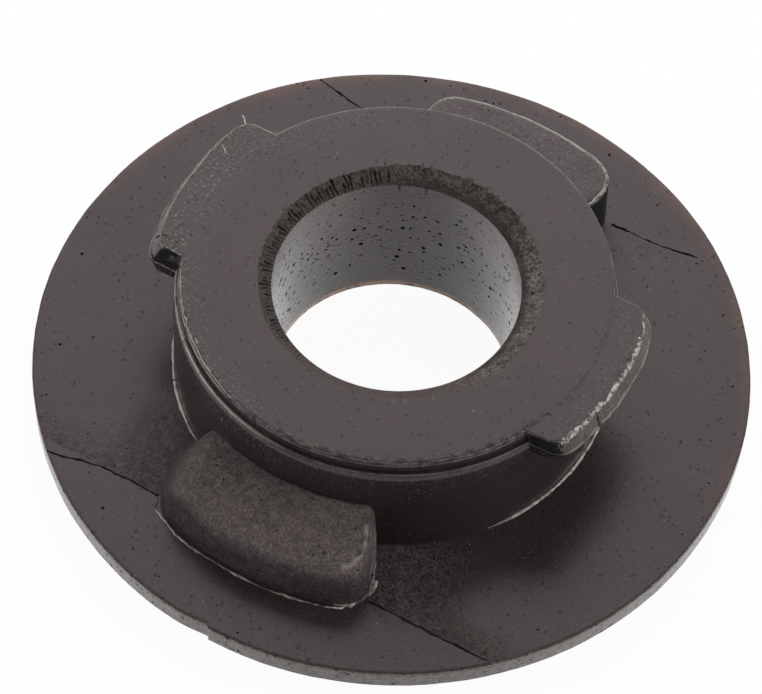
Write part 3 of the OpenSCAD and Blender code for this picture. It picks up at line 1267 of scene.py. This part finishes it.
def pit_rubber(c):
    """The inside of an open pore: very dark, with a little grain. The same material is painted shade on end
    walls of the lugs and of the rear pad.
    """
    g = Graph("pit_rubber")
    grain = g.noise(9.0, 2.0, 0.6)
    base = g.mix(g.ramp(grain, 0.35, 0.65), toned(c.pore, 0.6), toned(c.pore, 1.6))
    g.drive("Base Color", base)
    g.constant("Roughness", 0.8)
    g.constant("Specular IOR Level", 0.2)
    g.drive("Normal", g.bump(grain, 0.06, 0.8))
    return g.material


def torn_rubber(c):
    """The torn chamfer: dark slots between paler ridges, and coarse grain where it isn't slotted."""
    g = Graph("torn_rubber")
    x = g.axes()[0]
    grain = g.noise(9.0, 4.0, 0.8)
    coarse = g.noise(2.2, 2.0, 0.5)
    ridge = g.mix(g.ramp(grain, 0.36, 0.64), toned(c.torn, 0.4), toned(c.torn, 1.5))
    patch = g.ramp(g.plus(grain, g.times(coarse, 0.3)), 0.55, 0.8)
    right = g.ramp(x, 2.5, 4.8)
    gritty = g.mix(
        patch,
        g.mix(right, toned(c.torn, 0.15), toned(c.torn, 0.6)),
        g.mix(right, toned(c.torn, 1.9), toned(c.torn, 3.6)),
    )
    base = g.mix(g.attribute("grainy"), ridge, gritty)
    base = g.mix(g.times(g.attribute("narrow"), 0.7), base, toned(c.rim, 1.3))
    base = g.mix(g.times(g.ramp(g.attribute("slot"), 0.15, 0.75), 0.8), base, c.pore)
    base = g.mix(g.spots(1.6, 0.14, 0.7), base, c.pore)
    g.drive("Base Color", base)
    g.constant("Roughness", 0.5)
    g.constant("Specular IOR Level", 0.4)
    g.constant("Specular Tint", (1.0, 0.86, 0.82, 1.0))
    g.drive("Normal", g.bump(grain, 0.11, 0.9))
    return g.material


# Operators and panel


class GROMMET_OT_body(bpy.types.Operator):
    """Build the whole moulding, with its lugs, pads, bore, flash and parting lines"""

    bl_idname = "grommet.body"
    bl_label = "Moulded grommet"

    def execute(self, context):
        s = in_mm(context.scene.grommet_sizes)
        colours = context.scene.grommet_colours
        c = SimpleNamespace(**{n: tuple(getattr(colours, n)) for n in GrommetColours.__annotations__})
        body = body_solid(s)
        for material in (moulded_rubber(c, s), cut_rubber(c, s), torn_rubber(c), pit_rubber(c)):
            body.data.materials.append(material)
        parts = [pad_solid(s, True), pad_solid(s, False)]
        parts += lug_solids(s, 1) + lug_solids(s, -1)
        parts += flash_solids(s)
        combine(body, parts, "UNION")
        combine(body, [bore_cutter(s), lug_nick()] + groove_cutters(s) + [pits_cutter(s)], "DIFFERENCE")
        mark_skin(body, s)
        settle(body, s)
        body.name = "grommet_body"
        if not body.data.polygons:
            raise RuntimeError("the moulding came out empty")
        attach(body, BODY_NAME)
        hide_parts(NODE_NAME)
        return {"FINISHED"}


class GROMMET_OT_stage(bpy.types.Operator):
    """Build the white floor, the lamps, the even sky and the camera"""

    bl_idname = "grommet.stage"
    bl_label = "Studio stage"

    def execute(self, context):
        v = in_mm(context.scene.grommet_stage)
        scene = context.scene
        scene.view_settings.view_transform = "Standard"
        white_floor()
        white_world(scene, v.sky)
        camera = placed_camera(v)
        scene.camera = camera
        turn = math.degrees(v.azimuth)
        for name, from_camera, elevation, size in LAMPS:
            lamp(name + "_lamp", turn + from_camera, elevation, size, getattr(v, name))
        return {"FINISHED"}


def white_where_seen(tree, lit, white, also, share_white, output):
    """Shows white to rays from the camera and to the kinds in also, and the lit shader to the rest."""
    path = tree.nodes.new("ShaderNodeLightPath")
    seen = path.outputs["Is Camera Ray"]
    for name in also:
        larger = tree.nodes.new("ShaderNodeMath")
        larger.operation = "MAXIMUM"
        tree.links.new(seen, larger.inputs[0])
        tree.links.new(path.outputs[name], larger.inputs[1])
        seen = larger.outputs[0]
    part = tree.nodes.new("ShaderNodeMath")
    part.operation = "MULTIPLY"
    part.inputs[1].default_value = share_white
    tree.links.new(seen, part.inputs[0])
    white.inputs["Color"].default_value = (1, 1, 1, 1)
    white.inputs["Strength"].default_value = 1.0
    blend = tree.nodes.new("ShaderNodeMixShader")
    tree.links.new(part.outputs[0], blend.inputs["Fac"])
    tree.links.new(lit.outputs[0], blend.inputs[1])
    tree.links.new(white.outputs[0], blend.inputs[2])
    tree.links.new(blend.outputs[0], tree.nodes[output].inputs["Surface"])


def white_floor():
    """A wide white floor that shows white and keeps a soft shadow."""
    bm = bmesh.new()
    bmesh.ops.create_grid(bm, x_segments=2, y_segments=2, size=FLOOR_HALF)
    bmesh.ops.translate(bm, vec=(0, 0, -FLOOR_BELOW), verts=bm.verts)
    mesh = bpy.data.meshes.new("floor")
    bm.to_mesh(mesh)
    bm.free()
    floor = placed("floor", mesh)
    material = bpy.data.materials.new("white_floor")
    material.use_nodes = True
    tree = material.node_tree
    shader = tree.nodes["Principled BSDF"]
    shader.inputs["Base Color"].default_value = (0.85, 0.85, 0.85, 1)
    shader.inputs["Roughness"].default_value = 0.9
    shader.inputs["Specular IOR Level"].default_value = 0.0
    glow = tree.nodes.new("ShaderNodeEmission")
    also = ("Is Glossy Ray", "Is Transmission Ray")
    white_where_seen(tree, shader, glow, also, FLOOR_WHITE, "Material Output")
    mesh.materials.append(material)


def white_world(scene, strength):
    """White where it is seen, and an even soft light on everything else."""
    world = bpy.data.worlds.new("studio")
    world.use_nodes = True
    scene.world = world
    tree = world.node_tree
    soft = tree.nodes["Background"]
    soft.inputs["Color"].default_value = (1, 1, 1, 1)
    soft.inputs["Strength"].default_value = strength
    white = tree.nodes.new("ShaderNodeBackground")
    white_where_seen(tree, soft, white, ("Is Transmission Ray",), 1.0, "World Output")


def direction(azimuth, elevation):
    """Where something stands that looks along this azimuth and down by this elevation, both in radians."""
    flat = math.cos(elevation)
    return Vector((math.sin(azimuth) * flat, -math.cos(azimuth) * flat, math.sin(elevation)))


def lamp(name, azimuth, elevation, size, power):
    """A square area lamp that faces the grommet, with its angles in degrees."""
    light = bpy.data.lights.new(name, "AREA")
    light.shape = "SQUARE"
    light.size = size
    light.energy = power
    obj = placed(name, light)
    place = direction(math.radians(azimuth), math.radians(elevation)) * LAMP_DISTANCE
    obj.matrix_world = Matrix.Translation(place) @ place.to_track_quat("Z", "Y").to_matrix().to_4x4()


def placed_camera(v):
    """The camera, aimed so that the middle of the seat falls on its pixel of the picture."""
    data = bpy.data.cameras.new("camera")
    data.lens = v.focal
    data.sensor_width = SENSOR_W
    data.clip_start = 0.005
    data.clip_end = 20
    focal_px = v.focal / SENSOR_W * PICTURE_W
    place = direction(v.azimuth, v.elevation) * (v.distance * MM)
    forward = -place.normalized()
    right = Vector((math.cos(v.azimuth), math.sin(v.azimuth), 0))
    up = right.cross(forward)
    axes = Matrix((right, up, -forward)).transposed()
    axes = Matrix.Rotation(v.roll, 3, forward) @ axes
    pan = math.atan2(v.middle_x - PICTURE_W / 2, focal_px)
    axes = Matrix.Rotation(pan, 3, axes.col[1]) @ axes
    tilt = math.atan2(v.middle_y - PICTURE_H / 2, focal_px)
    axes = Matrix.Rotation(tilt, 3, axes.col[0]) @ axes
    camera = placed("camera", data)
    camera.matrix_world = Matrix.Translation(place) @ axes.to_4x4()
    return camera


class GROMMET_PT_panel(bpy.types.Panel):
    """Lists the sizes, the colours and the build steps"""

    bl_idname = "GROMMET_PT_panel"
    bl_label = "Rubber grommet"
    bl_space_type = "VIEW_3D"
    bl_region_type = "UI"
    bl_category = "Grommet"

    def draw(self, context):
        scene = context.scene
        for owner in (scene.grommet_sizes, scene.grommet_colours, scene.grommet_stage):
            column = self.layout.column(align=True)
            for name in type(owner).__annotations__:
                column.prop(owner, name)
        self.layout.operator(GROMMET_OT_body.bl_idname)
        self.layout.operator(GROMMET_OT_stage.bl_idname)


CLASSES = (GrommetSizes, GrommetColours, StageSizes, GROMMET_OT_body, GROMMET_OT_stage, GROMMET_PT_panel)


def register():
    for cls in CLASSES:
        bpy.utils.register_class(cls)
    bpy.types.Scene.grommet_sizes = PointerProperty(type=GrommetSizes)
    bpy.types.Scene.grommet_colours = PointerProperty(type=GrommetColours)
    bpy.types.Scene.grommet_stage = PointerProperty(type=StageSizes)


def unregister():
    del bpy.types.Scene.grommet_stage
    del bpy.types.Scene.grommet_colours
    del bpy.types.Scene.grommet_sizes
    for cls in reversed(CLASSES):
        bpy.utils.unregister_class(cls)


def main():
    register()
    bpy.ops.grommet.body()
    bpy.ops.grommet.stage()
    bpy.context.view_layer.update()


if __name__ == "__main__":
    main()
